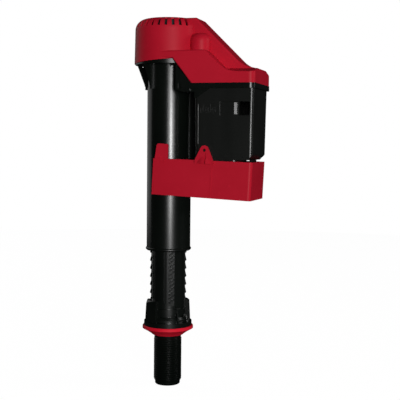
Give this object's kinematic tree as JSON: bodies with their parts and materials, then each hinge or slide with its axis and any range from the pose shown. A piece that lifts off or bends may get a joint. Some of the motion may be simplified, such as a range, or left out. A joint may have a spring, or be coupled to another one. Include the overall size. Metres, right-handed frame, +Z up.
{
  "type": "toilet fill valve",
  "caption": "Adjustable toilet tank fill valve: threaded shank, telescopic riser, diaphragm valve under a red cap, and a box float over a red cup beside the tube.",
  "frame": {"origin": "on the riser's axis, in the plane where the flange meets the cone washer", "axes": "+Z up along the riser, +X towards the float and cup"},
  "size_m": [0.1033, 0.0587, 0.2898],
  "materials": {
    "black_plastic": "satin moulded",
    "float_plastic": "fine grained",
    "red_plastic": "semi gloss moulded",
    "red_rubber": "soft matte",
    "black_rubber": "soft matte",
    "white_plastic": "satin",
    "grey_plastic": "satin",
    "steel": "plain"
  },
  "bodies": {
    "base": {"shank_riser": "black_plastic", "cone_washer": "red_rubber", "inlet_screen": "white_plastic"},
    "ring": {"height_ring": "black_plastic"},
    "head": {"outer_tube": "black_plastic", "valve_body": "black_plastic", "supply_pipe": "grey_plastic", "pipe_seals": "black_rubber", "neck_seal": "black_rubber", "seat_insert": "steel", "diaphragm": "black_rubber", "chamber_cover": "grey_plastic", "cover_screws": "steel", "lever_pin": "steel"},
    "poppet": {"poppet": "white_plastic", "poppet_face": "black_rubber"},
    "lever": {"float_lever": "grey_plastic", "pilot_pad": "black_rubber"},
    "cap": {"cap": "red_plastic", "vent_baffle": "black_rubber"},
    "float": {"float_shell": "float_plastic", "float_base": "float_plastic", "float_hanger": "black_plastic", "hanger_pin": "steel"},
    "slider": {"level_slider": "float_plastic"},
    "cup": {"cup": "red_plastic"}
  },
  "joints": [
    {"name": "height_adjust", "type": "slide", "parent": "base", "child": "ring", "axis": [0, 0, 1], "range_m": [-0.038, 0.055]},
    {"name": "head_swivel", "type": "hinge", "parent": "ring", "child": "head", "pos_m": [0, 0, 0.0628], "axis": [0, 0, 1], "continuous": true},
    {"name": "float_lift", "type": "slide", "parent": "head", "child": "float", "axis": [0, 0, 1], "range_m": [0, 0.00552]},
    {"name": "lever_swing", "type": "hinge", "parent": "head", "child": "lever", "pos_m": [0.014, 0, 0.227], "axis": [0, -1, 0], "range_deg": [0, 10.54]},
    {"name": "poppet_stroke", "type": "slide", "parent": "head", "child": "poppet", "axis": [0, 0, -1], "range_m": [0, 0.00105]},
    {"name": "cap_lift", "type": "slide", "parent": "head", "child": "cap", "axis": [0, 0, 1], "range_m": [0, 0.06]},
    {"name": "level_trim", "type": "slide", "parent": "float", "child": "slider", "axis": [1, 0, 0], "range_m": [0, 0.008]},
    {"name": "cup_height", "type": "slide", "parent": "head", "child": "cup", "axis": [0, 0, 1], "range_m": [-0.03, 0]}
  ],
  "couplings": [
    {"joint": "lever_swing", "follows": "float_lift", "rad_per_m": 33.241},
    {"joint": "poppet_stroke", "follows": "float_lift", "ratio": 0.1811}
  ]
}
